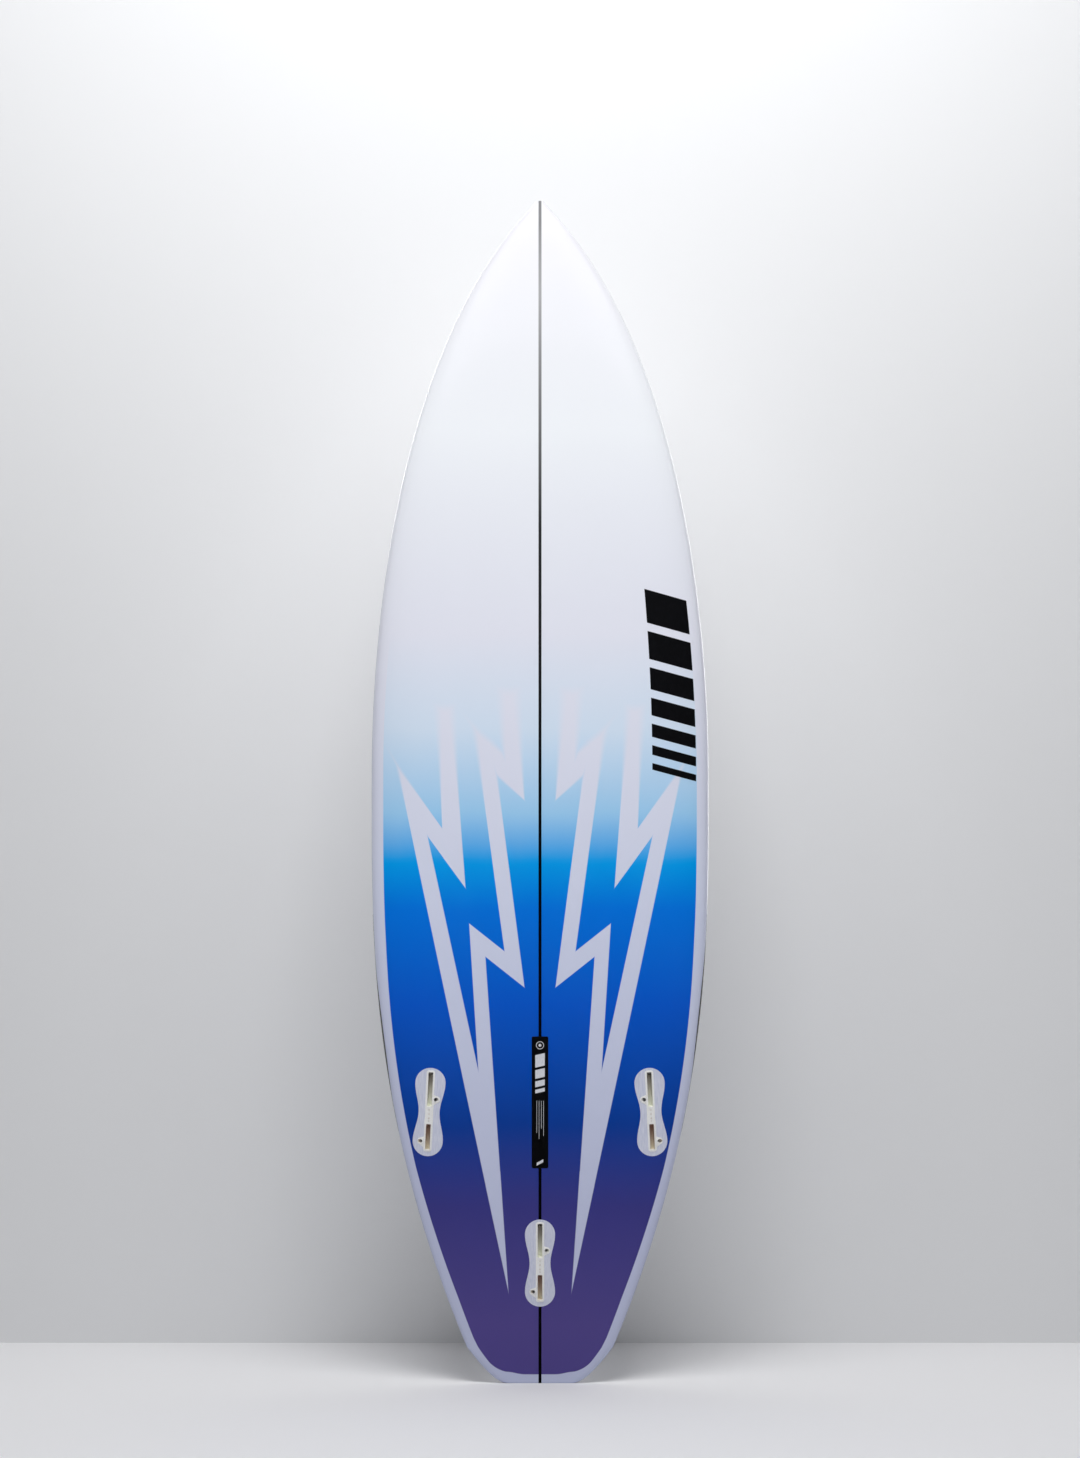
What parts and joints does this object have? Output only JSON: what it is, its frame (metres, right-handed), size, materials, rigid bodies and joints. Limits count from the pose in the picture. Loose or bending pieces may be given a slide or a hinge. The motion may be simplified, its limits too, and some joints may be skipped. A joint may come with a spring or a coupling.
{
  "type": "shortboard surfboard",
  "caption": "Squash-tail performance shortboard with foam blank, stringer, glass skins, two-slot fin plugs and a leash plug, standing upright.",
  "frame": {"origin": "centre of the board's depth and width, at the flat end of its tail", "axes": "+Z from tail to nose, -Y out of the bottom (the fin side), +Y out of the deck, +X to the right as the bottom is seen"},
  "size_m": [0.458, 0.1219, 1.626],
  "materials": {
    "foam": "matte",
    "stringer": "matte",
    "bottom_glass": "gloss",
    "deck_glass": "gloss",
    "carbon": "gloss",
    "print": "satin",
    "plug_plastic": "satin",
    "titanium": "satin",
    "stainless": "satin",
    "elastomer": "matte"
  },
  "bodies": {
    "board": {"blank_left": "foam", "blank_right": "foam", "stringer": "stringer", "bottom_laminate": "bottom_glass", "deck_laminate": "deck_glass", "carbon_patch_left": "carbon", "carbon_patch_right": "carbon", "rail_decal": "print", "stringer_label": "print", "leash_cup": "plug_plastic", "leash_bar": "stainless", "fin_plug_left": "plug_plastic", "roller_spring_left": "elastomer", "fin_plug_right": "plug_plastic", "roller_spring_right": "elastomer", "fin_plug_centre": "plug_plastic", "roller_spring_centre": "elastomer"},
    "roller_left": {"fin_roller_left": "titanium"},
    "front_screw_left": {"front_screw_left": "stainless"},
    "rear_screw_left": {"rear_screw_left": "stainless"},
    "roller_right": {"fin_roller_right": "titanium"},
    "front_screw_right": {"front_screw_right": "stainless"},
    "rear_screw_right": {"rear_screw_right": "stainless"},
    "roller_centre": {"fin_roller_centre": "titanium"},
    "front_screw_centre": {"front_screw_centre": "stainless"},
    "rear_screw_centre": {"rear_screw_centre": "stainless"}
  },
  "joints": [
    {"name": "roller_left_travel", "type": "slide", "parent": "board", "child": "roller_left", "axis": [0.0488, -0.0655, 0.9967], "range_m": [0, 0.0015], "stiffness_N_per_m": 800, "deforming": ["roller_spring_left"]},
    {"name": "front_screw_left_travel", "type": "slide", "parent": "board", "child": "front_screw_left", "axis": [-0.5542, 0.8284, 0.0816], "range_m": [-0.001, 0.0015]},
    {"name": "rear_screw_left_travel", "type": "slide", "parent": "board", "child": "rear_screw_left", "axis": [0.7221, 0.6917, 0.0101], "range_m": [-0.001, 0.0015]},
    {"name": "roller_right_travel", "type": "slide", "parent": "board", "child": "roller_right", "axis": [-0.0488, -0.0655, 0.9967], "range_m": [0, 0.0015], "stiffness_N_per_m": 800, "deforming": ["roller_spring_right"]},
    {"name": "front_screw_right_travel", "type": "slide", "parent": "board", "child": "front_screw_right", "axis": [0.5542, 0.8284, 0.0816], "range_m": [-0.001, 0.0015]},
    {"name": "rear_screw_right_travel", "type": "slide", "parent": "board", "child": "rear_screw_right", "axis": [-0.7221, 0.6917, 0.0101], "range_m": [-0.001, 0.0015]},
    {"name": "roller_centre_travel", "type": "slide", "parent": "board", "child": "roller_centre", "axis": [0, -0.1056, 0.9944], "range_m": [0, 0.0015], "stiffness_N_per_m": 800, "deforming": ["roller_spring_centre"]},
    {"name": "front_screw_centre_travel", "type": "slide", "parent": "board", "child": "front_screw_centre", "axis": [-0.6428, 0.7618, 0.0809], "range_m": [-0.001, 0.0015]},
    {"name": "rear_screw_centre_travel", "type": "slide", "parent": "board", "child": "rear_screw_centre", "axis": [0.6428, 0.7618, 0.0809], "range_m": [-0.001, 0.0015]}
  ]
}
